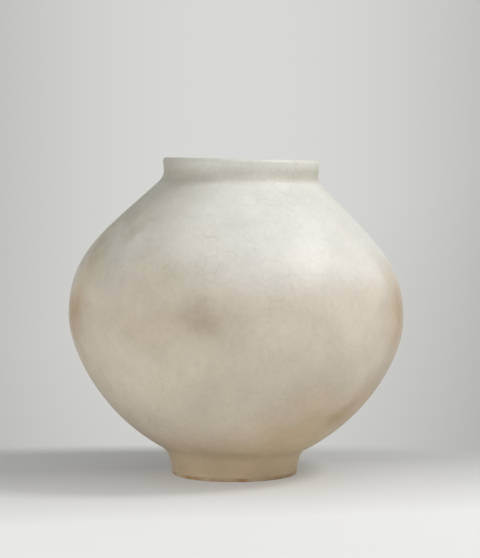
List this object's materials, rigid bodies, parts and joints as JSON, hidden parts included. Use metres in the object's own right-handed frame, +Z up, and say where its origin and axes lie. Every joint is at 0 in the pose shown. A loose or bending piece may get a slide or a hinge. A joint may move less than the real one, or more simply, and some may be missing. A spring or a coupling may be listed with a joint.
{
  "type": "moon jar",
  "caption": "Wide round white porcelain storage jar, joined at the belly from thrown bowls, with an upright collar and a narrow foot, glazed inside and out",
  "frame": {"origin": "on the table, under the middle of the foot ring", "axes": "+Z is up through the jar, and the belly leans a little to +X, which is to the right as the picture shows the jar"},
  "size_m": [0.4403, 0.4404, 0.4182],
  "materials": {
    "porcelain_body": "matt, bare fired clay",
    "luting_slip": "matt, fired liquid clay",
    "milky_glaze": "soft gloss"
  },
  "bodies": {
    "root": {"lower_bowl": "porcelain_body", "upper_bowl": "porcelain_body", "neck_collar": "porcelain_body", "foot_ring": "porcelain_body", "seam_slip": "luting_slip", "neck_slip": "luting_slip", "foot_slip": "luting_slip", "outer_glaze": "milky_glaze", "inner_glaze": "milky_glaze", "base_glaze": "milky_glaze"}
  },
  "joints": []
}
